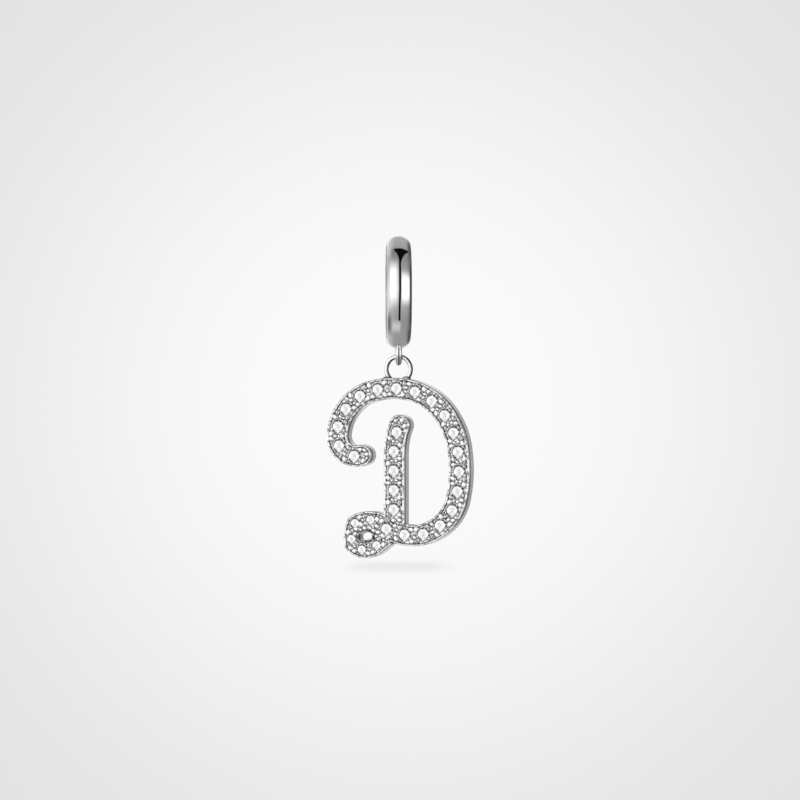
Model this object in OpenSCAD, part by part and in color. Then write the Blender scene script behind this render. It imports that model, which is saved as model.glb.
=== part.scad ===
// Script letter D set with round stones, hanging from a round bail with a hinged rear gate.
// Millimetres, +Z up. The origin is the inside top of the bail, where a chain sits.
// The letter lies in the XZ plane and faces -Y. Its outline is drawn round the eyelet's centre.

/* [Letter] */
// Width of the letter's stroke
stroke_w = 2.1; // [1.9:0.05:2.3]
// Thickness of the letter, front to back
letter_t = 1.7; // [1.4:0.05:2.4]
// Width of the raised rim along both edges of the stroke
rim_w = 0.19; // [0.12:0.01:0.22]
// Depth of the sunk field between the rims
field_depth = 0.2; // [0.1:0.01:0.25]

/* [Main sweep] */
// Direction in which the sweep leaves the tip, anticlockwise from +X
tip_heading = 196; // [185:1:210]
// Radius of the curl
curl_r = 2; // [1.8:0.05:2.3]
// Angle that the curl turns through
curl_turn = 110.6; // [100:0.1:120]
// Radius of the left shoulder
shoulder_r = 4.9; // [4.4:0.1:5.4]
// Angle that the left shoulder turns through
shoulder_turn = 71; // [65:0.5:76]
// Radius of the top, which carries the eyelet
crest_r = 8.5; // [7.5:0.1:9.5]
// Angle that the top turns through
crest_turn = 26.5; // [22:0.5:30]
// Radius of the right shoulder
brow_r = 6; // [5.4:0.1:6.6]
// Angle that the right shoulder turns through
brow_turn = 39.5; // [35:0.5:44]
// Radius of the upper flank of the bowl
flank_r = 7.8; // [7:0.1:8.6]
// Angle that the upper flank turns through
flank_turn = 29.7; // [26:0.1:34]
// Radius of the long right side
side_r = 14; // [12:0.1:16]
// Angle that the long right side turns through
side_turn = 20.4; // [18:0.1:23]
// Radius of the bowl's bottom
base_r = 4.7; // [4.4:0.1:5]
// Angle that the bowl's bottom turns through
base_turn = 97; // [92:0.5:101]
// Length of the straight tail after the bowl's bottom
tail_len = 1.6; // [1.3:0.05:1.9]

/* [Foot loop] */
// Width of the stroke round the foot loop
loop_w = 1.66; // [1.5:0.02:1.8]
// How far the loop's stroke starts above the tail's centreline
loop_rise = 0.4; // [0.3:0.01:0.5]
// Turn between the tail's direction and the loop's first direction
loop_bend = 11; // [9:0.5:13]
// Radius of the loop's top
loop_top_r = 3.2; // [3:0.1:3.4]
// Angle that the loop's top turns through
loop_top_turn = 57; // [54:0.5:60]
// Radius of the loop's upper corner
loop_corner_r = 0.3; // [0.25:0.05:0.4]
// Angle that the upper corner turns through
loop_corner_turn = 42; // [39:0.5:45]
// Radius of the loop's left side
loop_side_r = 3.6; // [3.4:0.1:3.8]
// Angle that the left side turns through
loop_side_turn = 28; // [26:0.5:30]
// Radius of the loop's lower corner
loop_heel_r = 0.6; // [0.55:0.05:0.7]
// Angle that the lower corner turns through
loop_heel_turn = 46; // [43:0.5:49]
// Radius of the loop's bottom
loop_bottom_r = 1.9; // [1.8:0.1:2]
// Angle that the bottom turns through
loop_bottom_turn = 75; // [72:0.5:78]
// Length of the straight run back into the bowl
loop_return = 1.4; // [1.2:0.05:1.6]
// Height of the oval hole in the foot loop
hole_h = 0.74; // [0.64:0.02:0.86]
// How much longer than high the oval hole is
hole_stretch = 0.74; // [0.6:0.02:0.86]
// Tilt of the oval hole
hole_tilt = 10; // [0:1:20]
// How far the hole is to the right of the middle between the loop's stones
hole_across = 0.1; // [0:0.01:0.2]
// How far the hole is below the middle between the loop's stones
hole_below = 0.17; // [0.1:0.01:0.24]

/* [Stem] */
// How far the stem's foot is to the right of the tail's end
stem_across = 1.13; // [0.95:0.01:1.3]
// How far the stem's foot is below the tail's end
stem_below = 0.47; // [0.3:0.01:0.6]
// Length of the stem's upright part
stem_len = 7.9; // [7.6:0.05:8.2]
// Radius of the stem's leaning top
lean_r = 7.5; // [7:0.1:9]
// Angle that the leaning top turns through
lean_turn = 22; // [18:1:26]

/* [Stones] */
// Diameter of the main stones
stone_d = 1.28; // [1.1:0.02:1.34]
// Diameter of the foot loop's stones
loop_stone_d = 1; // [0.9:0.02:1.06]
// Distance from the curl's tip to the first stone, along the stroke
main_first = 0.72; // [0.6:0.02:0.8]
// Distance from the last main stone to the tail's end
main_last = 0.39; // [0.3:0.01:0.5]
// Distance from the stem's top end to its first stone
stem_first = 0.73; // [0.6:0.01:0.85]
// Distance from the stem's last stone to its foot
stem_last = 2.29; // [2.1:0.01:2.45]
// Distance from the foot loop's start to its first stone, along the stroke
loop_first = 1.5; // [1.4:0.01:1.6]
// Distance from the foot loop's last stone to its end
loop_last = 1.31; // [1.2:0.01:1.4]
// Diameter of a bead prong
bead_d = 0.46; // [0.3:0.02:0.5]

/* [Eyelet and hanging loop] */
// Outer diameter of the eyelet on the letter
eyelet_d = 3; // [2.8:0.05:3.2]
// Wire of the eyelet
eyelet_wire = 0.45; // [0.35:0.01:0.55]
// How deep the eyelet is sunk in the letter's top edge
eyelet_sunk = 0.64; // [0.5:0.01:0.75]
// Lean of the line from the centre of the top's arc to the eyelet
eyelet_lean = 2.4; // [0:0.1:5]
// Outer diameter of the loop under the bail
hang_d = 2.38; // [2.2:0.02:2.8]
// Wire of the loop under the bail
hang_wire = 0.62; // [0.5:0.01:0.65]
// How far the loop's top is sunk in the band
hang_sunk = 0.7; // [0.5:0.01:0.8]

/* [Bail] */
// Outer diameter of the bail
bail_d = 11.3; // [10:0.1:12]
// Width of the bail's band
bail_w = 2.46; // [2.3:0.02:2.6]
// Thickness of the band at its middle
band_t = 1.3; // [1.25:0.05:1.4]
// Height of the dome above the band's straight sides
dome_rise = 0.98; // [0.92:0.01:1.05]
// Radius of the dome's sides, where they turn into the straight ones
corner_r = 0.8; // [0.75:0.01:0.85]
// Turn of the bail about the vertical, against the letter's face
bail_turn = 18.4; // [0:0.1:30]
// Where the gate's hinge is, up from the front and over the top
hinge_at = 128; // [120:1:135]
// Where the gate closes, up from the front and over the top
close_at = 230; // [225:1:235]
// How far the hinge's axis is below the top of the band's dome
hinge_sunk = 0.35; // [0.3:0.01:0.4]
// How far the hinge's ends are inside the band's sides
hinge_inset = 0.19; // [0.15:0.01:0.25]
// Diameter of the hinge's knuckles
knuckle_d = 1.2; // [1:0.05:1.3]
// Width of the hinge's middle knuckle
knuckle_w = 0.74; // [0.6:0.02:0.9]
// Length of the gate's tongue
catch_len = 0.7; // [0.6:0.05:0.75]
// Height of the gate's tongue
catch_h = 0.36; // [0.3:0.02:0.4]
// Width of the gate's tongue
catch_w = 0.7; // [0.6:0.05:1]
// How far the tongue's middle is to the front of the gate's end
catch_ahead = 0.04; // [0:0.01:0.08]
// Radius of the two nail notches at the gate's end
notch_r = 0.3; // [0.2:0.01:0.35]
// How far the notches' centres are outside the band's sides
notch_out = 0.06; // [0:0.01:0.12]
// Diameter of the hinge's pin
pin_d = 0.46; // [0.4:0.02:0.5]

/* [Clearances] */
// Gap between a stone and its seat
stone_gap = 0.02; // [0.01:0.005:0.03]
// Gap between the eyelet's wire and the loop's wire
ring_gap = 0.06; // [0.05:0.01:0.2]
// Gap at the gate's ends and round its knuckles
gate_gap = 0.05; // [0.04:0.01:0.08]
// Gap from one bead prong to the next and to the rim
bead_gap = 0.04; // [0.02:0.01:0.06]
// Gap round the hinge's pin
pin_gap = 0.02; // [0.01:0.005:0.03]

/* [Hidden] */
$fn = 64;

// How far a cutter reaches past what it cuts
past = 1;

// Bail: the band's radii, where its dome starts, and the crown's radius from its tangent sides
bail_r = bail_d / 2;
bore_r = bail_r - band_t;
dome_base = bail_r - dome_rise;
corner_z = bail_w / 2 - corner_r;
crown_r = (dome_rise ^ 2 + corner_z ^ 2 - corner_r ^ 2) / (2 * (dome_rise - corner_r));
crown_centre = bail_r - crown_r;
hinge_r = bail_r - hinge_sunk;
hinge_len = bail_w - 2 * hinge_inset;
hang_r = (hang_d - hang_wire) / 2;
hang_centre = bail_r + hang_d / 2 - hang_sunk;

// Eyelet: hung so that its wire clears the hanging loop's wire by the gap
eyelet_r = (eyelet_d - eyelet_wire) / 2;
hang_seat = bore_r + hang_centre + hang_r - hang_wire / 2;
eyelet_z = -hang_seat - eyelet_r + eyelet_wire / 2 + ring_gap;

// Letter: its front and back, as depths from its middle plane
front = -letter_t / 2;
back = letter_t / 2;
half_w = stroke_w / 2;
// Angle between the points of a round outline
facet = 3;
// The least share of its length that a bend leaves the rim's inside for two beads in a gap
squeeze_limit = 0.84;
// How far the beads at the stem's foot are from its last stone, as a share of the stone
foot_bead_part = 0.62;
// Directions of the beads round the two rounded ends, from the way that each end points
tip_bead_turns = [85, -5, -85];
stem_bead_turns = [60, -8, -75];

// Brilliant cut: heights and radii as parts of the stone's radius, and its count of main facets
cut_count = 8;
table_part = 0.58;
star_part = 0.8;
crown_part = 0.33;
girdle_part = 0.05;
pavilion_part = 0.86;
cut_part = 0.24;
hole_part = 0.64;

// A pose is a place in the letter's plane and a heading. A run is an arc, as a radius and
// the angle it turns through, clockwise for a positive radius, or for radius 0 a straight line.
function turned_centre(pose, r) =
  [pose[0][0] + r * sin(pose[1]), pose[0][1] - r * cos(pose[1])];
function ahead(pose, d) =
  [[pose[0][0] + d * cos(pose[1]), pose[0][1] + d * sin(pose[1])], pose[1]];
function aside(pose, d) =
  [pose[0][0] - d * sin(pose[1]), pose[0][1] + d * cos(pose[1])];
function along_arc(pose, r, a) =
  let (c = turned_centre(pose, r), h = pose[1] - sign(r) * a)
  [[c[0] - r * sin(h), c[1] + r * cos(h)], h];
function along(pose, run) =
  run[0] == 0 ? ahead(pose, run[1]) : along_arc(pose, run[0], run[1]);
function run_length(run) =
  run[0] == 0 ? run[1] : abs(run[0]) * run[1] * PI / 180;
function full_length(runs, i = 0) =
  i == len(runs) ? 0 : run_length(runs[i]) + full_length(runs, i + 1);
function run_part(run, s) =
  run[0] == 0 ? [0, s] : [run[0], s / abs(run[0]) * 180 / PI];
function radius_at(runs, s, i = 0) =
  s <= run_length(runs[i]) || i == len(runs) - 1
    ? runs[i][0] : radius_at(runs, s - run_length(runs[i]), i + 1);
function steps(run) = run[0] == 0 ? 1 : ceil(run[1] / facet);
function poses(pose, runs, i = 0) =
  i == len(runs) ? [pose] : concat(
    [for (k = [0:steps(runs[i]) - 1]) along(pose, [runs[i][0], runs[i][1] * k / steps(runs[i])])],
    poses(along(pose, runs[i]), runs, i + 1));
function pose_at(pose, runs, s, i = 0) =
  s <= run_length(runs[i]) || i == len(runs) - 1
    ? along(pose, run_part(runs[i], s))
    : pose_at(along(pose, runs[i]), runs, s - run_length(runs[i]), i + 1);

// The main sweep, placed so that the eyelet is sunk in its top
main_runs = [
  [curl_r, curl_turn], [shoulder_r, shoulder_turn], [crest_r, crest_turn],
  [brow_r, brow_turn], [flank_r, flank_turn], [side_r, side_turn],
  [base_r, base_turn], [0, tail_len]
];
crest_start = along(along([[0, 0], tip_heading], main_runs[0]), main_runs[1]);
crest_reach = crest_r + half_w + eyelet_d / 2 - eyelet_sunk;
crest_centre = -crest_reach * [sin(eyelet_lean), cos(eyelet_lean)];
main_start = [crest_centre - turned_centre(crest_start, crest_r), tip_heading];
main_poses = poses(main_start, main_runs);
tail_end = main_poses[len(main_poses) - 1];

// The foot loop and the stem, placed from the tail's end
loop_start = [aside(tail_end, -loop_rise), tail_end[1] - loop_bend];
loop_runs = [
  [-loop_top_r, loop_top_turn], [-loop_corner_r, loop_corner_turn],
  [-loop_side_r, loop_side_turn], [-loop_heel_r, loop_heel_turn],
  [-loop_bottom_r, loop_bottom_turn], [0, loop_return]
];
loop_poses = poses(loop_start, loop_runs);

stem_start = [tail_end[0] + [stem_across, -stem_below], 90];
stem_runs = [[0, stem_len], [lean_r, lean_turn]];
stem_poses = poses(stem_start, stem_runs);
stem_full = full_length(stem_runs);
stem_top = stem_poses[len(stem_poses) - 1];

// The stones, in the order of their nodes, evenly spaced along the strokes
main_count = 19;
loop_count = 5;
stem_count = 5;
pitch = (full_length(main_runs) - main_first - main_last) / (main_count - 1);
loop_pitch = (full_length(loop_runs) - loop_first - loop_last) / (loop_count - 1);
stem_pitch = (stem_full - stem_first - stem_last) / (stem_count - 1);
function main_pose(s) = pose_at(main_start, main_runs, s);
function loop_pose(s) = pose_at(loop_start, loop_runs, s);
function stem_pose(s) = pose_at(stem_start, stem_runs, s);
main_s = [for (i = [0:main_count - 1]) main_first + i * pitch];
loop_s = [for (i = [0:loop_count - 1]) loop_first + i * loop_pitch];
stem_s = [for (i = [0:stem_count - 1]) stem_full - stem_first - i * stem_pitch];
stone_spots = concat(
  [for (s = main_s) main_pose(s)[0]],
  [for (s = loop_s) loop_pose(s)[0]],
  [for (s = stem_s) stem_pose(s)[0]]
);
function stone_size(i) =
  i >= main_count && i < main_count + loop_count ? loop_stone_d : stone_d;

// Depth of a stone's girdle, which puts its table level with the rims
function girdle_y(d) = front + crown_part * d / 2;

// The foot loop's hole, from the middles between its outermost and its lowest and highest stones
hole_at = [
  (loop_pose(loop_s[2])[0][0] + loop_pose(loop_s[4])[0][0]) / 2 + hole_across,
  (loop_pose(loop_s[0])[0][1] + loop_pose(loop_s[3])[0][1]) / 2 - hole_below
];

// The points of a rounded end, from the left of its heading round to the right
function cap(place, heading, r) =
  [for (k = [1:180 / facet - 1])
    let (a = heading + 90 - facet * k) place + r * [cos(a), sin(a)]];
function reversed(list) = [for (i = [len(list) - 1:-1:0]) list[i]];
function edge(list, offset) = [for (p = list) aside(p, offset)];

// Stands a flat shape of the letter's plane up between two depths
module upright(y0, y1) {
  translate([0, y1, 0]) rotate([90, 0, 0]) linear_extrude(y1 - y0) children();
}

// A stroke along its centreline with a rounded end, and a rounded start if asked for
module stroke(list, half_width, round_end, round_start) {
  last = list[len(list) - 1];
  polygon(concat(
    edge(list, half_width),
    round_end ? cap(last[0], last[1], half_width) : [],
    reversed(edge(list, -half_width)),
    round_start ? cap(list[0][0], list[0][1] + 180, half_width) : []
  ));
}

// The foot loop, filled in, from its outer edge
module loop_fill(half_width) {
  last = loop_poses[len(loop_poses) - 1];
  polygon(concat(edge(loop_poses, -half_width), [aside(last, half_width), tail_end[0]]));
}

module hole(margin) {
  start = [hole_at - hole_stretch / 2 * [cos(hole_tilt), sin(hole_tilt)], hole_tilt];
  stroke([start, ahead(start, hole_stretch)], hole_h / 2 + margin, true, true);
}

// All strokes of the letter, narrowed by an inset, with the foot loop's hole open
module letter_shape(inset) {
  difference() {
    union() {
      stroke(main_poses, half_w - inset, false, true);
      stroke(stem_poses, half_w - inset, true, false);
      loop_fill(loop_w / 2 - inset);
    }
    hole(inset);
  }
}

module eyelet() {
  rotate([90, 0, 0]) rotate_extrude() translate([eyelet_r, 0]) circle(eyelet_wire / 2);
}

module letter_solid() {
  difference() {
    union() {
      difference() {
        union() {
          upright(front, back) letter_shape(0);
          eyelet();
        }
        upright(front - past, front + field_depth) letter_shape(rim_w);
      }
      beads();
    }
    for (i = [0:len(stone_spots) - 1]) seat(stone_spots[i], stone_size(i));
  }
}

// An open seat: a straight bearing, a cone under the girdle and a hole through the back
module seat(place, d) {
  r = d / 2 + stone_gap;
  hole_r = hole_part * d / 2;
  ledge = girdle_y(d) + girdle_part * d / 2 + stone_gap;
  slope = (r - hole_r) * pavilion_part;
  translate([place[0], 0, place[1]]) rotate([-90, 0, 0]) rotate_extrude()
    polygon([[0, front - past], [r, front - past], [r, ledge], [hole_r, ledge + slope],
      [hole_r, back + past], [0, back + past]]);
}

// A bead prong standing on the field
module bead(place) {
  translate([place[0], front + field_depth, place[1]]) sphere(bead_d / 2);
}

// Two beads on each side of a gap between stones, but one on the inside of a tight bend
module gap_beads(pose, r, half_width) {
  reach = half_width - rim_w - bead_d / 2 - bead_gap;
  for (side = [-1, 1]) {
    squeeze = r == 0 ? 1 : (r + side * reach) / r;
    for (step = squeeze > squeeze_limit ? [-1, 1] : [0])
      bead(aside(ahead(pose, step * (bead_d / 2 + bead_gap / 2)), side * reach));
  }
}

// Beads round the rounded end of a stroke, turned from the way that the end points
module end_beads(place, heading, turns) {
  reach = half_w - rim_w - bead_d / 2 - bead_gap;
  for (a = turns) bead(place + reach * [cos(heading + a), sin(heading + a)]);
}

module beads() {
  for (i = [0:main_count - 2]) {
    s = main_first + (i + 0.5) * pitch;
    gap_beads(main_pose(s), radius_at(main_runs, s), half_w);
  }
  for (i = [0:stem_count - 2]) {
    s = stem_full - stem_first - (i + 0.5) * stem_pitch;
    gap_beads(stem_pose(s), radius_at(stem_runs, s), half_w);
  }
  for (i = [0:loop_count - 2]) {
    s = loop_first + (i + 0.5) * loop_pitch;
    gap_beads(loop_pose(s), radius_at(loop_runs, s), loop_w / 2);
  }
  gap_beads(main_pose(main_s[main_count - 1] + pitch / 2), 0, half_w);
  gap_beads(stem_pose(stem_s[stem_count - 1] - foot_bead_part * stone_d), 0, half_w);
  gap_beads(loop_pose(loop_s[loop_count - 1] + loop_pitch / 2), 0, loop_w / 2);
  end_beads(main_start[0], tip_heading - 180, tip_bead_turns);
  end_beads(stem_top[0], stem_top[1], stem_bead_turns);
}

module letter_frame() {
  color("silver") translate([0, 0, eyelet_z]) letter_solid();
}

// Points evenly round Z, turned by a part of the step between them
function ring(count, r, h, turn) =
  [for (k = [0:count - 1]) let (a = 360 / count * (k + turn)) [r * cos(a), r * sin(a), h]];

// A round brilliant with its table towards -Y
module brilliant(d) {
  r = d / 2;
  crown = crown_part * r;
  girdle = girdle_part * r;
  deep = pavilion_part * r;
  bezel = cos(180 / cut_count);
  star_h = crown * (1 - bezel * star_part) / (1 - table_part);
  cut_h = deep * (1 - bezel * cut_part);
  points = concat(
    ring(cut_count, table_part * r, crown, 0),
    ring(cut_count, star_part * r, star_h, 0.5),
    ring(2 * cut_count, r, 0, 0),
    ring(2 * cut_count, r, -girdle, 0),
    ring(cut_count, cut_part * r, -girdle - cut_h, 0.5),
    [[0, 0, -girdle - deep]]
  );
  rotate([90, 0, 0]) hull() polyhedron(points, [[for (i = [0:len(points) - 1]) i]]);
}

module stone(n) {
  place = stone_spots[n - 1];
  d = stone_size(n - 1);
  color("white") translate([place[0], girdle_y(d), place[1] + eyelet_z]) brilliant(d);
}

// Turns a shape drawn round Z into the bail's plane, with angle 0 at the front, 90 at the top
module bail_place() {
  translate([0, 0, -bore_r]) rotate([0, 0, bail_turn]) rotate([90, 0, -90]) children();
}

// The band's section: flat inside, straight low sides and a dome of three tangent arcs
module band_section() {
  wedge = 2 * bail_w * [dome_base - crown_centre, corner_z];
  difference() {
    union() {
      translate([crown_centre, 0]) intersection() {
        circle(crown_r);
        polygon([
          [0, 0], wedge, [wedge[0] + bail_w, wedge[1]],
          [wedge[0] + bail_w, -wedge[1]], [wedge[0], -wedge[1]]
        ]);
      }
      for (side = [-1, 1]) translate([dome_base, side * corner_z]) circle(corner_r);
      translate([bore_r, -bail_w / 2]) square([dome_base - bore_r, bail_w]);
    }
    translate([0, -bail_w]) square([bore_r, 2 * bail_w]);
  }
}

module band(from, to) {
  rotate([0, 0, from]) rotate_extrude(angle = to - from) band_section();
}

// A cylinder along the hinge's axis, between two places across the band
module hinge_rod(d, from, to) {
  rotate([0, 0, hinge_at]) translate([hinge_r, 0, from]) cylinder(d = d, h = to - from);
}

module nail_notch() {
  for (side = [-1, 1]) rotate([0, 0, close_at])
    translate([bore_r, 0, side * (bail_w / 2 + notch_out)]) rotate([0, 90, 0])
      cylinder(r = notch_r, h = band_t + past);
}

// The gate's tongue, level so that it leaves its slot as the gate opens, grown by a gap
module tongue(gap) {
  middle = bore_r + band_t / 2;
  translate([middle * cos(close_at) + catch_ahead, middle * sin(close_at), 0])
    cube([catch_len + 2 * gap, catch_h + 2 * gap, catch_w + 2 * gap], center = true);
}

module bail_body() {
  gap_angle = gate_gap / 2 / bail_r * 180 / PI;
  color("silver") bail_place() difference() {
    union() {
      band(close_at + gap_angle, 360 + hinge_at - gap_angle);
      hinge_rod(knuckle_d, -hinge_len / 2, hinge_len / 2);
      rotate([0, 0, -90]) translate([hang_centre, 0, 0]) rotate_extrude()
        translate([hang_r, 0]) circle(hang_wire / 2);
    }
    hinge_rod(knuckle_d + 2 * gate_gap, -knuckle_w / 2 - gate_gap, knuckle_w / 2 + gate_gap);
    hinge_rod(pin_d + 2 * pin_gap, -bail_w, bail_w);
    tongue(gate_gap);
    nail_notch();
  }
}

module bail_gate() {
  gap_angle = gate_gap / 2 / bail_r * 180 / PI;
  color("silver") bail_place() difference() {
    union() {
      difference() {
        band(hinge_at + gap_angle, close_at - gap_angle);
        for (side = [-1, 1])
          translate([0, 0, side * (bail_w + knuckle_w) / 2])
            hinge_rod(knuckle_d + 2 * gate_gap, -bail_w / 2, bail_w / 2);
      }
      hinge_rod(knuckle_d, -knuckle_w / 2, knuckle_w / 2);
      tongue(0);
    }
    hinge_rod(pin_d + 2 * pin_gap, -bail_w, bail_w);
    nail_notch();
  }
}

module hinge_pin() {
  color("silver") bail_place() hinge_rod(pin_d, -hinge_len / 2, hinge_len / 2);
}

letter_frame();
bail_body();
bail_gate();
hinge_pin();
stone(1);  // stone_01
stone(2);  // stone_02
stone(3);  // stone_03
stone(4);  // stone_04
stone(5);  // stone_05
stone(6);  // stone_06
stone(7);  // stone_07
stone(8);  // stone_08
stone(9);  // stone_09
stone(10);  // stone_10
stone(11);  // stone_11
stone(12);  // stone_12
stone(13);  // stone_13
stone(14);  // stone_14
stone(15);  // stone_15
stone(16);  // stone_16
stone(17);  // stone_17
stone(18);  // stone_18
stone(19);  // stone_19
stone(20);  // stone_20
stone(21);  // stone_21
stone(22);  // stone_22
stone(23);  // stone_23
stone(24);  // stone_24
stone(25);  // stone_25
stone(26);  // stone_26
stone(27);  // stone_27
stone(28);  // stone_28
stone(29);  // stone_29
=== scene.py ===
import math

import bmesh
import bpy
import numpy as np
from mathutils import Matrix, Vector
from mathutils.bvhtree import BVHTree
from mathutils.kdtree import KDTree


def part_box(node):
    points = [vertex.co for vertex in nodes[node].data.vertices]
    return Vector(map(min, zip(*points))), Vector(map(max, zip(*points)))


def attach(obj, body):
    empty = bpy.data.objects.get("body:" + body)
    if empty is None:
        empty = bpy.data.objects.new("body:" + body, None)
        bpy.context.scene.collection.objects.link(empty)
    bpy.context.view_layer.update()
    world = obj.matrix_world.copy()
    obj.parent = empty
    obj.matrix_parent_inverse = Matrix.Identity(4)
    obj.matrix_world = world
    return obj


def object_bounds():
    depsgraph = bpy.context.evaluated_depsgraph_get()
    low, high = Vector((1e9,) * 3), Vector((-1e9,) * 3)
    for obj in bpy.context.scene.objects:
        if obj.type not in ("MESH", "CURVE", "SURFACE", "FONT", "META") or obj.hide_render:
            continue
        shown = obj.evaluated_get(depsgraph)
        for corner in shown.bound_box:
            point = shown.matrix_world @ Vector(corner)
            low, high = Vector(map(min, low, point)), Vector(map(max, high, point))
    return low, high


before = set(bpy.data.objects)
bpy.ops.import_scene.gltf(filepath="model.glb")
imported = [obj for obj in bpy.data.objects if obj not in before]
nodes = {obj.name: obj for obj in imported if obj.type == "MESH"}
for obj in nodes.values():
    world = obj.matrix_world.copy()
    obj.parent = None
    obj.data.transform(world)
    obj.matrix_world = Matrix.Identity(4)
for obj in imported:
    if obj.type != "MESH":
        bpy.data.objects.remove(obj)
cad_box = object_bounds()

# Metres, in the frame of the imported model: the letter faces -Y and its stones are towards the camera
MM = 0.001
STONES = sorted(n for n in nodes if n.startswith("stone_"))
BAIL = ["bail_body", "bail_gate", "hinge_pin"]

# The letter's box, its front, which the rims and the stones' tables share, its sunk field and its back
LETTER_LOW, LETTER_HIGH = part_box("letter_frame")
FRONT_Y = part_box(STONES[0])[0][1]
FIELD_Y = FRONT_Y + 0.2 * MM
BACK_Y = LETTER_HIGH[1]
# The eyelet's outer radius, and its centre in the letter's plane
EYELET_R = 1.5 * MM
EYELET_TOP = LETTER_HIGH[2]
EYELET_CENTRE = Vector((0, 0, EYELET_TOP - EYELET_R))
# The bail's bore: its turn, radius and centre, its own direction and the one to its front
BAIL_TURN = math.radians(18.4)
BORE_R = 4.35 * MM
BORE_CENTRE = Vector((0, 0, -BORE_R))
BORE_AXIS = Vector((math.cos(BAIL_TURN), math.sin(BAIL_TURN), 0))
BORE_FRONT = Vector((math.sin(BAIL_TURN), -math.cos(BAIL_TURN), 0))
# The outside of the bail's band
BAND_R = BORE_R + 1.3 * MM

# Camera: where it stands round the pendant, how far off, what its picture covers, its sensor in
# millimetres, the nearest and the farthest that it sees, and what it aims at
CAMERA_TURN = math.radians(17)
CAMERA_DISTANCE = 0.5
PICTURE_SIDE = 80 * MM
SENSOR = 36
NEAREST = 0.01
FARTHEST = 10
AIM_RIGHT = 0.14 * MM
AIM_HEIGHT = -15.12 * MM
RIGHT = Vector((math.cos(CAMERA_TURN), math.sin(CAMERA_TURN), 0))
TOWARDS = Vector((math.sin(CAMERA_TURN), -math.cos(CAMERA_TURN), 0))


def make_camera():
    data = bpy.data.cameras.new("camera")
    data.sensor_width = SENSOR
    data.lens = SENSOR * CAMERA_DISTANCE / PICTURE_SIDE
    data.clip_start = NEAREST
    data.clip_end = FARTHEST
    camera = bpy.data.objects.new("camera", data)
    aim = RIGHT * AIM_RIGHT + Vector((0, 0, AIM_HEIGHT))
    camera.location = aim + TOWARDS * CAMERA_DISTANCE
    camera.rotation_euler = (-TOWARDS).to_track_quat("-Z", "Y").to_euler()
    bpy.context.scene.collection.objects.link(camera)
    bpy.context.scene.camera = camera


# How many rays the nodes send out that look round a point: for painted shade in crevices and for rounded
# edges
OPENNESS_RAYS = 8
ROUNDING_RAYS = 6


class Tree:
    """Short calls that add nodes to a material's or the world's tree and join them up."""

    def __init__(self, tree):
        self.tree = tree
        tree.nodes.clear()

    def add(self, kind, **settings):
        made = self.tree.nodes.new(kind)
        for name, value in settings.items():
            setattr(made, name, value)
        return made

    def feed(self, made, **inputs):
        """Sets or joins inputs by name, or by place where the name is i and a number."""
        for name, value in inputs.items():
            key = int(name[1:]) if name[0] == "i" and name[1:].isdigit() else name.replace("_", " ")
            if isinstance(value, bpy.types.NodeSocket):
                self.tree.links.new(value, made.inputs[key])
            else:
                made.inputs[key].default_value = value
        return made

    def math(self, operation, a, b=0.0, c=0.0, clamp=False):
        made = self.add("ShaderNodeMath", operation=operation, use_clamp=clamp)
        return self.feed(made, i0=a, i1=b, i2=c).outputs[0]

    def times(self, first, *others):
        for other in others:
            first = self.math("MULTIPLY", first, other)
        return first

    def vector(self, operation, a, b=(0, 0, 0)):
        made = self.add("ShaderNodeVectorMath", operation=operation)
        return self.feed(made, i0=a, i1=tuple(b))

    def dot(self, a, direction):
        return self.vector("DOT_PRODUCT", a, direction).outputs["Value"]

    def offset(self, a, centre):
        return self.vector("SUBTRACT", a, centre).outputs[0]

    def length(self, a, scale=(1, 1, 1)):
        """The length of a vector whose directions count as much as scale says."""
        return self.vector("LENGTH", self.vector("MULTIPLY", a, scale).outputs[0]).outputs["Value"]

    def ramp(self, value, low, high, to_low=0.0, to_high=1.0):
        """A smooth step of value from to_low at low to to_high at high."""
        made = self.add("ShaderNodeMapRange", interpolation_type="SMOOTHSTEP")
        self.feed(made, Value=value, From_Min=low, From_Max=high, To_Min=to_low, To_Max=to_high)
        return made.outputs["Result"]

    def fall(self, value, low, high):
        """1 below low and 0 above high."""
        return self.ramp(value, low, high, 1.0, 0.0)

    def window(self, value, low, high, soft):
        """1 between low and high and 0 outside, with edges as wide as soft."""
        rise = self.ramp(value, low - soft / 2, low + soft / 2)
        return self.times(rise, self.fall(value, high - soft / 2, high + soft / 2))

    def blend(self, share, a, b):
        """a where share is 0, b where it is 1."""
        made = self.add("ShaderNodeMix", data_type="FLOAT")
        return self.feed(made, i0=share, i2=a, i3=b).outputs[0]

    def tint(self, share, a, b):
        """The colour a where share is 0, b where it is 1."""
        made = self.add("ShaderNodeMix", data_type="RGBA")
        a, b = (c if isinstance(c, bpy.types.NodeSocket) else (*c, 1) for c in (a, b))
        return self.feed(made, i0=share, i6=a, i7=b).outputs[2]

    def noise(self, place, scale, detail=3.0):
        made = self.add("ShaderNodeTexNoise")
        return self.feed(made, Vector=place, Scale=scale, Detail=detail).outputs[0]

    def openness(self, reach):
        """1 on open surfaces, less where others stand within reach."""
        made = self.add("ShaderNodeAmbientOcclusion", samples=OPENNESS_RAYS)
        return self.feed(made, Distance=reach).outputs["AO"]

    def rounded(self, radius):
        """The surface's normal as if its edges were rounded off."""
        made = self.add("ShaderNodeBevel", samples=ROUNDING_RAYS)
        return self.feed(made, Radius=radius).outputs[0]

    def bump(self, height, strength, distance, **normal):
        made = self.add("ShaderNodeBump")
        return self.feed(made, Height=height, Strength=strength, Distance=distance, **normal).outputs[0]


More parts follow.
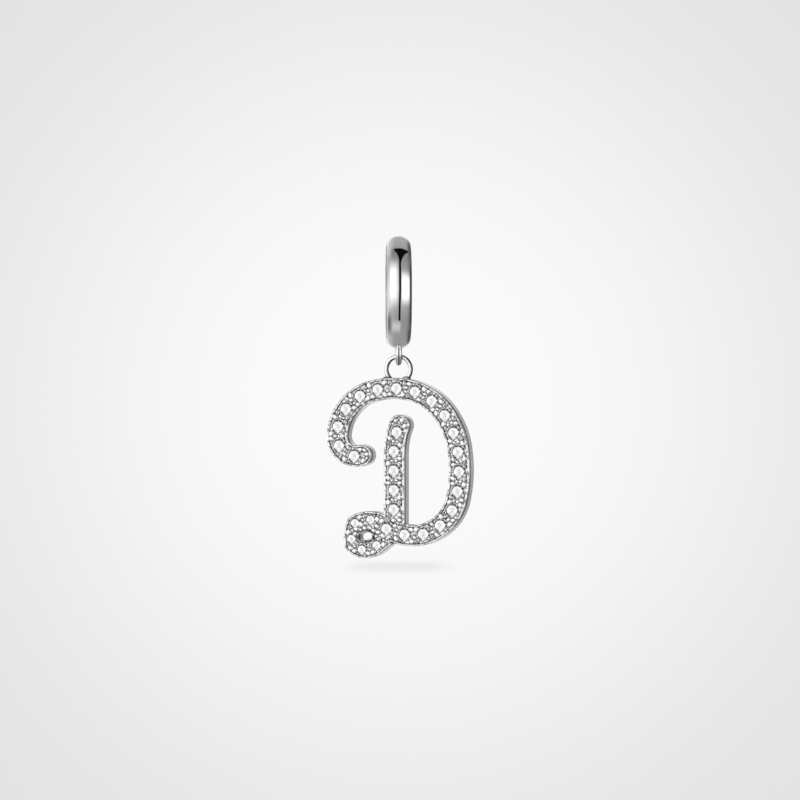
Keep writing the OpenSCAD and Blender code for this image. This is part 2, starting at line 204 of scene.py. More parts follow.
# The light tent, in degrees round from the camera (positive to its right) and up from it, each as
# twice the tilt that a small mirror would need: middle and half width round, middle and half height
# up, how soft its edges are, brightness
PANELS = {
    "left_sheet": (-52, 34, 19, 37, 44, 1.25),
    "right_sheet": (53, 37, 8, 28, 30, 1.25),
    "table_patch": (-28, 36, -76, 12, 26, 0.62),
    "right_gap": (117, 26, -8, 78, 38, 0.05),
    "overhead_left": (-45, 22, 91, 12, 16, 0.24),
    "low_left": (-98, 26, -72, 26, 40, 0.14),
    "behind_high": (108, 34, 122, 38, 34, 0.08),
    "behind_low": (108, 34, -124, 36, 34, 0.08),
}
# Brightness of the tent's wall between the panels, by degrees up
WALL = [
    (-180, 0.34), (-105, 0.32), (-62, 0.3), (-35, 0.4), (5, 0.5), (55, 0.34), (78, 0.26),
    (105, 0.36), (180, 0.5),
]
HALF_TURN = 180
# How the wall changes to the left and to the right: between which degrees round, and how much
LEFT_FADE = (-100, -30)
LEFT_GAIN = 1.7
RIGHT_FADE = (40, 110)
RIGHT_GAIN = 0.62
# The dark slot that the camera looks through, in degrees: half width, how far right it leans and where
# it starts and stops leaning, its foot and top, how soft its sides and its ends are, its brightness
SLOT_HALF = 8.6
SLOT_LEAN = 4.5
SLOT_LEANS = (-45, 10)
SLOT_FOOT = -61.5
SLOT_TOP = 101
SLOT_SOFT = 5
SLOT_END_SOFT = 3
SLOT_LEVEL = 0.004
# How the slot flares overhead: from where, over how many degrees, how much wider and further right
FLARE_FROM = 60
FLARE_SPAN = 36
FLARE_HALF = 52
FLARE_RIGHT = 11
# The pale backdrop as the metal's side walls reflect it, in degrees from its middle: a dark core,
# where it is full, where it ends, and how bright its core is
GLOW_DARK = 3
GLOW_FULL = 8
GLOW_END = 30
CORE_LEVEL = 0.06
# What shows behind the pendant: brightness in the middle and at the picture's corners, by degrees
PALE_MIDDLE = 0.955
PALE_CORNER = 0.775
PALE_ANGLES = (1.0, 6.6)


def tent_wall(t, turn, up):
    """The wall's brightness, with the panels on it."""
    wall = t.add("ShaderNodeValToRGB")
    for i, (place, level) in enumerate(WALL):
        stop = wall.color_ramp.elements[i] if i < 2 else wall.color_ramp.elements.new(i / len(WALL))
        stop.position = (place + HALF_TURN) / (2 * HALF_TURN)
        stop.color = (level, level, level, 1)
    t.feed(wall, Fac=t.math("MULTIPLY_ADD", up, 0.5 / HALF_TURN, 0.5))
    left = t.ramp(turn, *LEFT_FADE, LEFT_GAIN, 1.0)
    right = t.ramp(turn, *RIGHT_FADE, 1.0, RIGHT_GAIN)
    light = t.times(wall.outputs["Color"], t.times(left, right))
    for middle, half, height, reach, soft, level in PANELS.values():
        sideways = t.window(turn, middle - half, middle + half, soft)
        upwards = t.window(up, height - reach, height + reach, soft)
        light = t.blend(t.times(sideways, upwards), light, level)
    return light


def tent_slot(t, turn, up):
    """1 in the dark slot, which leans and flares overhead."""
    opened = t.math("DIVIDE", t.math("SUBTRACT", up, FLARE_FROM), FLARE_SPAN, clamp=True)
    half = t.math("MULTIPLY_ADD", t.math("POWER", opened, 2.0), FLARE_HALF, SLOT_HALF)
    lean = t.math("MULTIPLY_ADD", opened, FLARE_RIGHT, t.ramp(up, *SLOT_LEANS, 0.0, SLOT_LEAN))
    off = t.math("ABSOLUTE", t.math("SUBTRACT", turn, lean))
    inside = t.ramp(t.math("SUBTRACT", half, off), -SLOT_SOFT / 2, SLOT_SOFT / 2)
    return t.times(inside, t.window(up, SLOT_FOOT, SLOT_TOP, SLOT_END_SOFT))


def make_world():
    world = bpy.data.worlds.new("tent")
    bpy.context.scene.world = world
    world.use_nodes = True
    t = Tree(world.node_tree)
    ray = t.add("ShaderNodeTexCoord").outputs["Generated"]
    across = t.dot(ray, RIGHT)
    near = t.dot(ray, TOWARDS)
    above = t.dot(ray, (0, 0, 1))
    degrees = math.degrees(1)
    half_up = t.math("ARCTAN2", above, t.math("ADD", near, 1.0))
    up = t.times(half_up, 2 * degrees)
    shrunk = t.times(across, t.math("COSINE", half_up))
    turn = t.times(t.math("ARCTAN2", shrunk, t.math("ADD", near, 1.0)), 2 * degrees)
    light = t.blend(tent_slot(t, turn, up), tent_wall(t, turn, up), SLOT_LEVEL)

    off_axis = t.times(t.math("ARCCOSINE", t.times(near, -1.0)), degrees)
    glow = t.ramp(off_axis, GLOW_DARK, GLOW_FULL, CORE_LEVEL, PALE_MIDDLE)
    light = t.blend(t.fall(off_axis, GLOW_FULL, GLOW_END), light, glow)
    pale = t.ramp(off_axis, *PALE_ANGLES, PALE_MIDDLE, PALE_CORNER)
    backdrop = t.feed(t.add("ShaderNodeBackground"), Strength=pale)
    tent = t.feed(t.add("ShaderNodeBackground"), Strength=light)
    for shader in (backdrop, tent):
        shader.inputs["Color"].default_value = (1, 1, 1, 1)
    seen = t.add("ShaderNodeLightPath").outputs["Is Camera Ray"]
    mix = t.feed(t.add("ShaderNodeMixShader"), i0=seen, i1=tent.outputs[0], i2=backdrop.outputs[0])
    t.feed(t.add("ShaderNodeOutputWorld"), Surface=mix.outputs[0])


# Polished silver: its colours in the light, the near black of its painted shade and painted dark
# reflections, the black of its painted dark lines, and the polish
BRIGHT = (0.935, 0.94, 0.955)
DULL = (0.9, 0.905, 0.925)
# Near black for painted shade in crevices, at the beads' feet and in the cuts, for the stones' painted
# dark flashes, and for the darkening round the foot loop's hole
PAINTED_DARK = (0.035, 0.036, 0.04)
# Black for the painted dark lines on the eyelet and the bail's loop, and for the painted shadow of the
# cuts
PAINTED_BLACK = (0.008, 0.008, 0.009)
POLISH = 0.06
# How near the metal round a crevice has to be for painted shade to fill it
CREVICE = 0.16 * MM
# How fine the noises are: clouds on the letter, the bail and the beads, flecks on the rims, lumps in
# the solder, marks in the stones, and the grain of the cast field
CLOUDS = 900.0
BEAD_CLOUDS = 3000.0
FLECKS = 4200.0
SOLDER_LUMPS = 5000.0
STONE_MARKS = 7000.0
CAST_GRAIN = 14000.0


def new_material(name):
    material = bpy.data.materials.new(name)
    material.use_nodes = True
    return material, Tree(material.node_tree)


def finish_metal(t, colour, roughness, normal):
    shader = t.add("ShaderNodeBsdfPrincipled")
    t.feed(shader, Base_Color=colour, Metallic=1.0, Roughness=roughness, Normal=normal)
    t.feed(t.add("ShaderNodeOutputMaterial"), Surface=shader.outputs[0])


# How squarely a surface of the letter faces the front, from a side wall to a flat face
SQUARE = (0.3, 0.6)
# The sunk field's depths, with the seats' edges, and how softly they end
FIELD_DEPTHS = (FIELD_Y - 0.04 * MM, FIELD_Y + 0.3 * MM)
FIELD_SOFT = 0.04 * MM
# How open the metal is, from full painted shade to none
LETTER_OPEN = (0.5, 0.9)
BEAD_OPEN = (0.46, 0.84)
# The rims: where they end in depth, the noise of their flecks, and the flecks' colours, dark and pale
RIM_DEPTHS = (FRONT_Y + 0.03 * MM, FRONT_Y + 0.06 * MM)
RIM_FLECKS = (0.38, 0.54)
RIM_DARK = (0.3, 0.305, 0.315)
RIM_PALE = (0.93, 0.935, 0.95)
# The rims' upper edges, painted dark as a painted reflection of the dark above: how far they turn, how
# far up, and their painted colour
RIM_TURN = 0.15 * MM
RIM_UP = (0.06, 0.22)
RIM_PAINTED_SKY = (0.05, 0.051, 0.054)
# The hole in the foot loop: its middle, how its directions count, where the darkening round it fades,
# how its noise thins it and by how much, and where it ends before the letter's back
HOLE_CENTRE = Vector((-3.16, 0, -28.7)) * MM
HOLE_SHAPE = (1, 0, 1.5)
HOLE_DARK_REACH = (1.0 * MM, 1.3 * MM)
HOLE_FLECKS = (0.35, 0.6)
HOLE_THIN = 0.5
HOLE_BACK = (BACK_Y - 0.06 * MM, BACK_Y - 0.02 * MM)
# The eyelet's painted dark reflection lines: where the eyelet ends, how squarely its wire faces the
# front on them, how softly they end, and how far its wire turns to the right
EYELET_ENDS = (EYELET_R, EYELET_R + 0.04 * MM)
LINE_SQUARE = (0.4, 0.84)
LINE_SOFT = 0.1
LINE_RIGHT = (0.12, 0.3)
# The letter's side walls look softly domed: how steeply they fall from their crown, and where it is
WALL_DOME = 0.25
CROWN_Y = -0.35 * MM
# How wide the letter's edges look rounded, and how wide the facets of its walls are smoothed
LETTER_EDGE = 0.13 * MM
WALL_EDGE = 0.45 * MM
# How deep the grain is on the polished metal and on the field, and how rough walls and field are
GRAIN_POLISHED = 0.0002 * MM
GRAIN_CAST = 0.012 * MM
WALL_ROUGH = 0.16
FIELD_ROUGH = 0.2


def hole_darkening(t, place, depth, fleck):
    """1 where the metal is darkened round the foot loop's hole, which stays off the back."""
    near = t.fall(t.length(t.offset(place, HOLE_CENTRE), HOLE_SHAPE), *HOLE_DARK_REACH)
    thinned = t.ramp(fleck, *HOLE_FLECKS, 1.0, HOLE_THIN)
    return t.times(near, thinned, t.fall(depth, *HOLE_BACK))


def eyelet_painted_lines(t, place, facing, rightward):
    """1 on the painted dark reflection lines of the eyelet's wire."""
    on_eyelet = t.fall(t.length(t.offset(place, EYELET_CENTRE)), *EYELET_ENDS)
    return t.times(t.window(facing, *LINE_SQUARE, LINE_SOFT), t.ramp(rightward, *LINE_RIGHT), on_eyelet)


def letter_colour(t, place, normal, depth, facing):
    colour = t.tint(t.noise(place, CLOUDS, detail=4.0), DULL, BRIGHT)
    # Painted shade: darker where other metal stands close round crevices
    colour = t.tint(t.ramp(t.openness(CREVICE), *LETTER_OPEN), PAINTED_DARK, colour)
    fleck = t.noise(place, FLECKS)
    rim = t.fall(depth, *RIM_DEPTHS)
    colour = t.tint(rim, colour, t.tint(t.ramp(fleck, *RIM_FLECKS), RIM_DARK, RIM_PALE))
    # Painted reflection: the rims' upper edges darkened as if they mirrored the dark above
    skyward = t.ramp(t.dot(t.rounded(RIM_TURN), (0, 0, 1)), *RIM_UP)
    colour = t.tint(t.times(rim, skyward), colour, RIM_PAINTED_SKY)
    # Darker round the foot loop's hole
    colour = t.tint(hole_darkening(t, place, depth, fleck), colour, PAINTED_DARK)
    # Painted dark reflection lines down the eyelet's wire
    return t.tint(eyelet_painted_lines(t, place, facing, t.dot(normal, (1, 0, 0))), colour, PAINTED_BLACK)


def letter_normal(t, place, depth, wall, sunk):
    """Softly domed walls, rounded edges and a grainy field."""
    off_crown = t.math("POWER", t.math("SUBTRACT", depth, CROWN_Y), 2.0)
    dome = t.times(off_crown, -WALL_DOME / (BACK_Y - FRONT_Y), wall)
    grain = t.blend(sunk, GRAIN_POLISHED, GRAIN_CAST)
    relief = t.math("MULTIPLY_ADD", t.noise(place, CAST_GRAIN), grain, dome)
    shape = t.add("ShaderNodeMix", data_type="VECTOR")
    t.feed(shape, i0=wall, i4=t.rounded(LETTER_EDGE), i5=t.rounded(WALL_EDGE))
    return t.bump(relief, 1.0, 1.0, Normal=shape.outputs[1])


def letter_metal():
    """Cast and polished: bright rims, softly domed side walls, and painted shade in the field's corners.
    """
    material, t = new_material("letter_silver")
    coords = t.add("ShaderNodeTexCoord")
    place = coords.outputs["Object"]
    normal = coords.outputs["Normal"]
    depth = t.dot(place, (0, 1, 0))
    facing = t.math("ABSOLUTE", t.dot(normal, (0, 1, 0)))
    wall = t.fall(facing, *SQUARE)
    sunk = t.times(t.window(depth, *FIELD_DEPTHS, FIELD_SOFT), t.ramp(facing, *SQUARE))
    roughness = t.blend(sunk, t.blend(wall, POLISH, WALL_ROUGH), FIELD_ROUGH)
    colour = letter_colour(t, place, normal, depth, facing)
    finish_metal(t, colour, roughness, letter_normal(t, place, depth, wall, sunk))
    return material


# The beads: where the painted shade at their foot starts and is full, how deep and how strong their
# dents are, the noise that polishes them more or less, and how rough they are from one to the other
BEAD_FOOT = (FIELD_Y - 0.07 * MM, FIELD_Y - 0.01 * MM)
BEAD_DENT = 0.03 * MM
BEAD_DENTED = 0.3
WORN = (0.3, 0.7)
BEAD_ROUGH = (0.5 * POLISH, 1.5 * POLISH)


def bead_metal():
    material, t = new_material("bead_silver")
    place = t.add("ShaderNodeTexCoord").outputs["Object"]
    cloud = t.noise(place, BEAD_CLOUDS)
    colour = t.tint(cloud, DULL, BRIGHT)
    # Painted shade in the crevices round the beads, and at their feet below
    colour = t.tint(t.ramp(t.openness(CREVICE), *BEAD_OPEN), PAINTED_DARK, colour)
    colour = t.tint(t.ramp(t.dot(place, (0, 1, 0)), *BEAD_FOOT), colour, PAINTED_DARK)
    dented = t.bump(cloud, BEAD_DENTED, BEAD_DENT)
    finish_metal(t, colour, t.ramp(cloud, *WORN, *BEAD_ROUGH), dented)
    return material


# The bail's satin bore: where it ends outwards and inwards, and how rough it is
BORE_OUTWARD = (BORE_R + 0.02 * MM, BORE_R + 0.05 * MM)
BORE_INWARD = (BORE_R - 0.2 * MM, BORE_R - 0.05 * MM)
BORE_ROUGH = 0.42
# The lines left round the band by polishing: how fine across it and round it, how deep and how strong.
# How rough the band is between them and on them, and how wide its edges look rounded
LINES_ACROSS = 9.0 / MM
LINES_ROUND = 1.5
LINE_DEEP = 0.01 * MM
LINE_STRONG = 0.1
BAND_ROUGH = (0.7 * POLISH, 1.5 * POLISH)
BAND_EDGE = 0.06 * MM
# The loop under the band: where it comes clear of it, how rough it is, and the half width of the
# painted dark line down its face
LOOP_FROM = (BAND_R + 0.01 * MM, BAND_R + 0.07 * MM)
LOOP_ROUGH = 0.28
LOOP_LINE = 0.06 * MM


def bail_metal():
    """Mirror outside with faint lines left round the band by polishing, satin inside the bore, and a
    painted dark line down the loop.
    """
    material, t = new_material("bail_silver")
    place = t.add("ShaderNodeTexCoord").outputs["Object"]
    from_centre = t.offset(place, BORE_CENTRE)
    sideways = t.dot(from_centre, BORE_AXIS)
    frontal = t.dot(from_centre, BORE_FRONT)
    height = t.dot(from_centre, (0, 0, 1))
    out = t.math("SQRT", t.math("ADD", t.math("POWER", frontal, 2.0), t.math("POWER", height, 2.0)))
    inside = t.times(t.fall(out, *BORE_OUTWARD), t.ramp(out, *BORE_INWARD))
    on_loop = t.times(t.ramp(out, *LOOP_FROM), t.fall(height, -BORE_R, 0.0))

    lined = t.add("ShaderNodeCombineXYZ")
    around = t.math("ARCTAN2", height, frontal)
    t.feed(lined, X=t.times(sideways, LINES_ACROSS), Y=t.times(around, LINES_ROUND))
    lines = t.noise(lined.outputs[0], scale=1.0)
    # A painted dark line down the loop's face
    painted_line = t.times(on_loop, t.window(sideways, -LOOP_LINE, LOOP_LINE, LOOP_LINE / 2))
    colour = t.tint(painted_line, t.tint(t.noise(place, CLOUDS, detail=4.0), DULL, BRIGHT), PAINTED_BLACK)
    roughness = t.blend(inside, t.ramp(lines, *WORN, *BAND_ROUGH), BORE_ROUGH)
    roughness = t.blend(on_loop, roughness, LOOP_ROUGH)
    scratched = t.bump(lines, LINE_STRONG, LINE_DEEP, Normal=t.rounded(BAND_EDGE))
    finish_metal(t, colour, roughness, scratched)
    return material


# A stone's face, in its own plane from -1 to 1: a pale disc and a pale tail below it, with soft edges,
# where it is painted to glow
DISC_RIGHT = -0.08
DISC_UP = 0.02
DISC_EDGE = (0.74, 0.84)
TAIL_RIGHT = -0.14
TAIL_HALF = 0.17
TAIL_SOFT = 0.12
TAIL_TOP = (-0.6, -0.5)
# The disc's painted grey heart, a painted reflection: how far out it fades, and how bright it is
HEART_FADE = (0.15, 0.6)
HEART_LEVEL = 0.68
# Faint marks all over the stone: their noise, and how bright they are
MARK_NOISE = (0.35, 0.55)
MARK_LEVEL = 0.74
# Painted dark reflections along its edge, as flashes: middle and half width in degrees, anticlockwise
# from +X, and inner edge
FLASHES = [
    (107, 14, 0.82), (66, 14, 0.79), (28, 18, 0.79), (-8, 14, 0.72), (-54, 9, 0.9), (152, 8, 0.9),
    (176, 8, 0.88), (207, 8, 0.88), (232, 10, 0.82),
]
FLASH_SOFT = 7
FLASH_EDGE = 0.03
# A painted glow in place of the light that the pavilion sends back: where the pale face glows brighter,
# and from what to what
PAINTED_GLOW_FROM = (0.5, 0.62)
PAINTED_GLOW_LEVELS = (0.1, 0.5)
STONE_METALLIC = 0.6
STONE_IOR = 2.16


def stone_flashes(t, up, right, off_centre):
    """1 in the painted dark reflection flashes along the stone's edge."""
    angle = t.times(t.math("ARCTAN2", up, right), math.degrees(1))
    dark = 0.0
    for middle, half, inner in FLASHES:
        flash = t.window(angle, middle - half, middle + half, FLASH_SOFT)
        flash = t.times(flash, t.ramp(off_centre, inner - FLASH_EDGE, inner + FLASH_EDGE))
        dark = t.math("MAXIMUM", dark, flash)
    return dark


def stone_material():
    """White stone: a painted glow stands in for the light that its pavilion sends back, with painted
    dark flashes at its edge.
    """
    material, t = new_material("white_stone")
    coords = t.add("ShaderNodeTexCoord")
    own = t.offset(coords.outputs["Generated"], (0.5, 0.5, 0.5))
    right = t.dot(own, (2, 0, 0))
    up = t.dot(own, (0, 0, 2))
    off_centre = t.length(own, (2, 0, 2))
    off_disc = t.length(t.offset(own, (DISC_RIGHT / 2, 0, DISC_UP / 2)), (2, 0, 2))
    tail = t.window(right, TAIL_RIGHT - TAIL_HALF, TAIL_RIGHT + TAIL_HALF, TAIL_SOFT)
    pale = t.math("MAXIMUM", t.fall(off_disc, *DISC_EDGE), t.times(tail, t.fall(up, *TAIL_TOP)))

    # Painted reflections: a grey heart in the disc and dark flashes at the edge
    heart = t.ramp(off_disc, *HEART_FADE, HEART_LEVEL, 1.0)
    mark = t.noise(coords.outputs["Object"], STONE_MARKS, detail=2.0)
    marks = t.ramp(mark, *MARK_NOISE, MARK_LEVEL, 1.0)
    grey = t.times(heart, marks)
    colour = t.feed(t.add("ShaderNodeCombineColor"), Red=grey, Green=grey, Blue=grey).outputs[0]
    dark = stone_flashes(t, up, right, off_centre)
    colour = t.tint(dark, colour, PAINTED_DARK)
    glow = t.times(pale, t.math("SUBTRACT", 1.0, dark))
    # The emission is a painted glow: the stone glows though it is no lamp
    shader = t.add("ShaderNodeBsdfPrincipled")
    t.feed(
        shader,
        Base_Color=colour,
        Roughness=0.0,
        Metallic=STONE_METALLIC,
        IOR=STONE_IOR,
        Transmission_Weight=1.0,
        Emission_Color=colour,
        Emission_Strength=t.times(glow, t.ramp(off_disc, *PAINTED_GLOW_FROM, *PAINTED_GLOW_LEVELS)),
    )
    t.feed(t.add("ShaderNodeOutputMaterial"), Surface=shader.outputs[0])
    return material


def dress(names, material):
    for name in names:
        mesh = nodes[name].data
        mesh.materials.clear()
        mesh.materials.append(material)


def add_piece(name, points, faces, material):
    """A smooth mesh that swings with the letter."""
    mesh = bpy.data.meshes.new(name)
    mesh.from_pydata(points, [], faces)
    mesh.polygons.foreach_set("use_smooth", [True] * len(faces))
    mesh.materials.append(material)
    piece = bpy.data.objects.new(name, mesh)
    bpy.context.scene.collection.objects.link(piece)
    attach(piece, "letter")
    return piece


def stone_place(name):
    """A stone's centre in the letter's plane, and its radius."""
    low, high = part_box(name)
    return (low[0] + high[0]) / 2, (low[2] + high[2]) / 2, (high[0] - low[0]) / 2


def between_rings(start, rows, sides):
    """Faces between rings of as many points as sides, the first of which begins at start."""
    faces = []
    for i in range(rows):
        low, high = start + i * sides, start + (i + 1) * sides
        for k in range(sides):
            n = (k + 1) % sides
            faces.append((low + k, high + k, high + n, low + n))
    return faces


def renumbered(faces, start):
    """The faces of a unit mesh for a copy of its points that begins at start."""
    return [tuple(start + point for point in face) for face in faces]


# How square a bead's profile is: 2 is a half ball, more has a flatter top and steeper sides
KNOB_POWER = 3.6
KNOB_HEIGHT = 0.92
# How oval the knobs are, and how far each is turned from the one before, in radians
OVAL = 1.13
OVAL_TURN = 2.4


def knob(rings, segments):
    """Points and faces of a unit bead towards -Y, with its foot at 0."""
    points = [(0.0, -KNOB_HEIGHT, 0.0)]
    for i in range(1, rings + 1):
        down = math.pi / 2 * i / rings
        reach = math.sin(down) ** (2 / KNOB_POWER)
        height = KNOB_HEIGHT * max(math.cos(down), 0) ** (2 / KNOB_POWER)
        for k in range(segments):
            turn = 2 * math.pi * k / segments
            points.append((reach * math.cos(turn), -height, reach * math.sin(turn)))
    faces = [(0, 1 + k, 1 + (k + 1) % segments) for k in range(segments)]
    faces += between_rings(1, rings - 1, segments)
    faces.append(tuple(range(1 + (rings - 1) * segments, 1 + rings * segments))[::-1])
    return points, faces


def knobs(spots, rings, segments):
    """Many knobs as one mesh, from their centres in the letter's plane and their radii."""
    unit_points, unit_faces = knob(rings, segments)
    points, faces = [], []
    for i, (x, z, r) in enumerate(spots):
        start = len(points)
        long_way = Vector((math.cos(OVAL_TURN * i), math.sin(OVAL_TURN * i))) * r * OVAL
        short_way = Vector((-math.sin(OVAL_TURN * i), math.cos(OVAL_TURN * i))) * r / OVAL
        for a, b, c in unit_points:
            off = long_way * a + short_way * c
            points.append((x + off.x, FIELD_Y + r * b, z + off.y))
        faces += renumbered(unit_faces, start)
    return points, faces


# Bead prongs: the part of a bead that is above the rims marks its centre. Their radius, how much it
# varies and how quickly from one to the next, and how fine their mesh is
BEAD_R = 0.26 * MM
BEAD_VARIES = 0.16
BEAD_WAVE = 2.4
BEAD_TOP_Y = FRONT_Y - 0.01 * MM
BEAD_APART = 0.2 * MM
BEAD_MESH = (8, 20)


def bead_spots():
    """The letter's bead prongs, found from the tops that stand above its rims."""
    groups = []
    for top in (v.co for v in nodes["letter_frame"].data.vertices if v.co.y < BEAD_TOP_Y):
        for group in groups:
            if abs(group[0].x - top.x) < BEAD_APART and abs(group[0].z - top.z) < BEAD_APART:
                group.append(top)
                break
        else:
            groups.append([top])
    spots = []
    for i, group in enumerate(groups):
        x, z = ((min(p[k] for p in group) + max(p[k] for p in group)) / 2 for k in (0, 2))
        spots.append((x, z, BEAD_R * (1 + BEAD_VARIES * math.sin(BEAD_WAVE * i))))
    return spots


# Lips: the field's metal burnished against each stone, as arcs of wire that taper to their ends. Where
# they are round each stone, in degrees anticlockwise from +X, and how far out, in wires
LIP_WIRE = 0.08 * MM
LIP_IN = 0.01 * MM
LIP_SINK = 0.04 * MM
LIPS = [
    (20, 74, 0.2), (118, 158, 0.4), (166, 192, 1.4), (206, 250, 0.5), (-62, -14, 0.3), (84, 104, 1.0),
]
# Cuts: a raised wire painted near black, a painted shadow that stands for the groove on the far side of
# each stone's main claw. Where it is round each stone, and how far out as a part of its radius
CUT_FIRST = 24
CUT_LAST = 60
CUT_OUT = 1.38
CUT_WIRE = 0.06 * MM
CUT_Y = FIELD_Y - 0.1 * MM
CUT_ROUGH = 0.3
# How thin a wire is at its ends, as a part of its thickness, and how it swells from there
WIRE_END = 0.02
WIRE_SWELL = 0.5


def wire_arcs(arcs, turns, sides):
    """Tapered arcs of wire as one mesh, from their centres, first and last degree, reach and depth."""
    points, faces = [], []
    for x, z, first, last, middle, y, thick in arcs:
        start = len(points)
        for i in range(turns + 1):
            turn = math.radians(first + (last - first) * i / turns)
            wire = thick * max(math.sin(math.pi * i / turns), WIRE_END) ** WIRE_SWELL
            for k in range(sides):
                around = 2 * math.pi * k / sides
                reach = middle + wire * math.cos(around)
                depth = y + wire * math.sin(around)
                points.append((x + reach * math.cos(turn), depth, z + reach * math.sin(turn)))
        faces += between_rings(start, turns, sides)
        faces.append(tuple(range(start, start + sides)))
        faces.append(tuple(range(start + turns * sides, start + (turns + 1) * sides))[::-1])
    return points, faces


def make_lips(material):
    arcs = []
    for x, z, radius in map(stone_place, STONES):
        for first, last, out in LIPS:
            middle = radius + LIP_WIRE - LIP_IN + out * LIP_WIRE
            arcs.append((x, z, first, last, middle, FIELD_Y - LIP_SINK, LIP_WIRE))
    return add_piece("lips", *wire_arcs(arcs, turns=14, sides=10), material)


def cut_metal():
    material, t = new_material("painted_groove_shadow")
    place = t.add("ShaderNodeTexCoord").outputs["Object"]
    # Near black: a painted shadow for the groove
    finish_metal(t, t.tint(t.noise(place, BEAD_CLOUDS), PAINTED_BLACK, PAINTED_DARK), CUT_ROUGH, t.rounded(CUT_WIRE))
    return material


def make_cuts(material):
    arcs = []
    for x, z, radius in map(stone_place, STONES):
        arcs.append((x, z, CUT_FIRST, CUT_LAST, CUT_OUT * radius, CUT_Y, CUT_WIRE))
    return add_piece("cuts", *wire_arcs(arcs, turns=10, sides=8), material)


# Claws: small oval prongs pressed over each stone's edge: angle, and place out, half length round and
# half width outward, all as parts of the stone's radius. How high they stand, in half widths
CLAWS = [
    (47, 1.12, 0.29, 0.15), (-36, 1.14, 0.24, 0.2), (-8, 1.17, 0.13, 0.12), (150, 1.12, 0.16, 0.13),
    (-98, 1.07, 0.14, 0.15),
]
CLAW_STAND = 1.9


def make_claws(material, rings=6, segments=16):
    unit_points, unit_faces = knob(rings, segments)
    points, faces = [], []
    for x, z, radius in map(stone_place, STONES):
        for angle, out, half_round, half_out in CLAWS:
            turn = math.radians(angle)
            outward = Vector((math.cos(turn), 0, math.sin(turn)))
            sideways = Vector((-math.sin(turn), 0, math.cos(turn)))
            centre = Vector((x, FIELD_Y, z)) + outward * (out * radius)
            start = len(points)
            for a, b, c in unit_points:
                spot = centre + sideways * (a * half_round * radius) + outward * (c * half_out * radius)
                points.append((spot.x, spot.y + b * CLAW_STAND * half_out * radius, spot.z))
            faces += renumbered(unit_faces, start)
    return add_piece("claws", points, faces, material)


# Solder: a rough lump at each foot of the eyelet: their places across, their height, their half sizes,
# and how they bulge: how much, how many times round, and how far it is turned by a millimetre across
SOLDER_RIGHT = (-1.18 * MM, 0.8 * MM)
SOLDER_Z = EYELET_TOP - 2.47 * MM
SOLDER_SIZE = Vector((0.45, 0.62, 0.29)) * MM
SOLDER_BULGE = 0.07
SOLDER_BULGES = 3
SOLDER_TURN = 40 / MM
# The solder's colours, its dark one partly painted shade where the eyelet's feet meet the letter, the
# noise from one to the other, its dents and its roughness
SOLDER_SHADE_DARK = (0.16, 0.165, 0.175)
SOLDER_PALE = (0.72, 0.725, 0.74)
SOLDER_NOISE = (0.38, 0.6)
SOLDER_DENT = 0.08 * MM
SOLDER_DENTED = 0.8
SOLDER_ROUGH = 0.22


def solder_metal():
    material, t = new_material("solder")
    lump = t.noise(t.add("ShaderNodeTexCoord").outputs["Object"], SOLDER_LUMPS)
    # Mottled dark and pale: real solder, with the dark partly painted shade where the eyelet meets the
    # letter
    colour = t.tint(t.ramp(lump, *SOLDER_NOISE), SOLDER_SHADE_DARK, SOLDER_PALE)
    finish_metal(t, colour, SOLDER_ROUGH, t.bump(lump, SOLDER_DENTED, SOLDER_DENT))
    return material


def make_solder(material, rings=14, segments=24):
    points, faces = [], []
    for right in SOLDER_RIGHT:
        start = len(points)
        for i in range(rings + 1):
            down = math.pi * i / rings
            for k in range(segments):
                turn = 2 * math.pi * k / segments
                bulge = math.sin(SOLDER_BULGES * turn + SOLDER_TURN * right) * math.sin(2 * down)
                out = math.sin(down)
                unit = Vector((math.cos(turn) * out, math.cos(down), math.sin(turn) * out))
                off = unit * SOLDER_SIZE * (1 + SOLDER_BULGE * bulge)
                points.append(Vector((right, 0, SOLDER_Z)) + off)
        faces += [(a, d, c, b) for a, b, c, d in between_rings(start, rings, segments)]
    return add_piece("solder", points, faces, material)


# Grains: small beads raised from the field wherever there is room, largest first. The grid on which
# room is looked for, their largest and smallest radius, the gap between them, and how fine their mesh is
SCAN = 0.05 * MM
SCAN_TOUCH = 0.1 * SCAN
GRAIN_MOST = 0.26 * MM
GRAIN_LEAST = 0.12 * MM
GRAIN_APART = 0.015 * MM
GRAIN_MESH = (5, 12)


def field_samples():
    """Points of the letter's plane on a fine grid, those on the sunk field and the rest."""
    frame_mesh = BVHTree.FromPolygons(
        [v.co for v in nodes["letter_frame"].data.vertices],
        [p.vertices for p in nodes["letter_frame"].data.polygons],
    )
    field, rest = [], []
    for i in range(int((LETTER_HIGH[0] - LETTER_LOW[0]) / SCAN) + 1):
        for k in range(int((LETTER_HIGH[2] - LETTER_LOW[2]) / SCAN) + 1):
            x, z = LETTER_LOW[0] + i * SCAN, LETTER_LOW[2] + k * SCAN
            hit = frame_mesh.ray_cast(Vector((x, 2 * FRONT_Y, z)), Vector((0, 1, 0)))[0]
            on_field = hit is not None and abs(hit.y - FIELD_Y) < SCAN_TOUCH
            (field if on_field else rest).append((x, z))
    return np.array(field), np.array(rest)


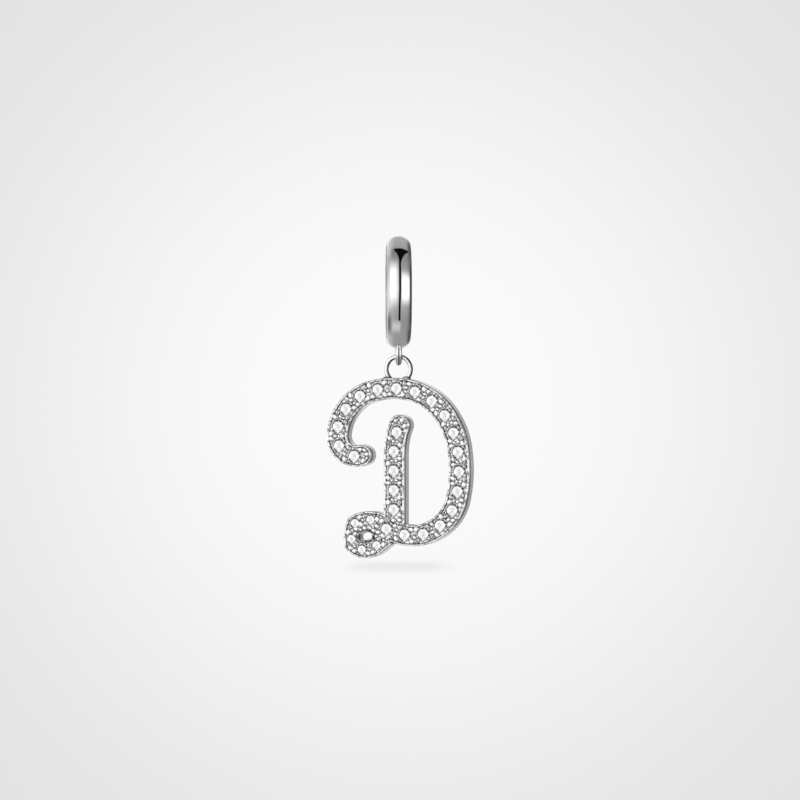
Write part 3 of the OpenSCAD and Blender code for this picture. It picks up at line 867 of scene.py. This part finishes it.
def grain_spots():
    """Centres and radii of the grains, each where the field has the most room left."""
    field, rest = field_samples()
    others = KDTree(len(rest))
    for i, (x, z) in enumerate(rest):
        others.insert((x, z, 0), i)
    others.balance()
    room = np.array([others.find((x, z, 0))[2] for x, z in field]) - SCAN / 2
    for x, z, radius in map(stone_place, STONES):
        lips_reach = radius + 2 * LIP_WIRE - LIP_IN
        room = np.minimum(room, np.hypot(field[:, 0] - x, field[:, 1] - z) - lips_reach)
    spots = []
    while room.max() > GRAIN_LEAST:
        best = int(room.argmax())
        x, z = field[best]
        r = min(room[best], GRAIN_MOST)
        spots.append((x, z, r - GRAIN_APART / 2))
        room = np.minimum(room, np.hypot(field[:, 0] - x, field[:, 1] - z) - r)
    return spots


# Floor: how far it is below the letter and how large, and the soft shadow painted on it: how far it is
# full, where it ends sideways and in depth, and how dark it is
FLOOR_Z = cad_box[0][2] - 0.824 * MM
FLOOR_R = 60 * MM
FLOOR_SIDES = 96
SHADOW_FULL = 2.8 * MM
SHADOW_END = 6.3 * MM
SHADOW_DEEP = 27 * MM
SHADOW_DARK = 0.115


def floor_material():
    """Clear but for the pendant's painted soft shadow, so that it runs on into the backdrop."""
    material, t = new_material("floor")
    place = t.add("ShaderNodeTexCoord").outputs["Object"]
    across = t.math("ABSOLUTE", t.dot(place, RIGHT))
    deep = t.math("ABSOLUTE", t.dot(place, TOWARDS))
    # A painted shadow: it stays on the floor under the letter's place at rest
    shade = t.times(t.fall(across, SHADOW_FULL, SHADOW_END), t.fall(deep, 0.0, SHADOW_DEEP))
    light = t.math("MULTIPLY_ADD", shade, -SHADOW_DARK, 1.0)
    see_through = t.feed(t.add("ShaderNodeBsdfTransparent"), Color=light)
    t.feed(t.add("ShaderNodeOutputMaterial"), Surface=see_through.outputs[0])
    return material


def make_floor(material):
    shape = bmesh.new()
    bmesh.ops.create_circle(shape, cap_ends=True, segments=FLOOR_SIDES, radius=FLOOR_R)
    mesh = bpy.data.meshes.new("floor")
    shape.to_mesh(mesh)
    shape.free()
    mesh.materials.append(material)
    floor = bpy.data.objects.new("floor", mesh)
    floor.location = (0, 0, FLOOR_Z)
    bpy.context.scene.collection.objects.link(floor)
    floor.visible_glossy = False
    floor.visible_transmission = False
    floor.visible_diffuse = False


make_camera()
make_world()

bead_silver = bead_metal()
dress(["letter_frame"], letter_metal())
dress(BAIL, bail_metal())
dress(STONES, stone_material())

added = [
    make_solder(solder_metal()),
    add_piece("bead_prongs", *knobs(bead_spots(), *BEAD_MESH), bead_silver),
    add_piece("grains", *knobs(grain_spots(), *GRAIN_MESH), bead_silver),
    make_lips(bead_silver),
    make_claws(bead_silver),
    make_cuts(cut_metal()),
]
# The letter and all that it carries stay out of the metal's reflections
for piece in [nodes["letter_frame"], *added, *(nodes[name] for name in STONES)]:
    piece.visible_glossy = False

make_floor(floor_material())

bpy.context.scene.view_settings.view_transform = "Standard"
bpy.context.scene.view_settings.look = "None"
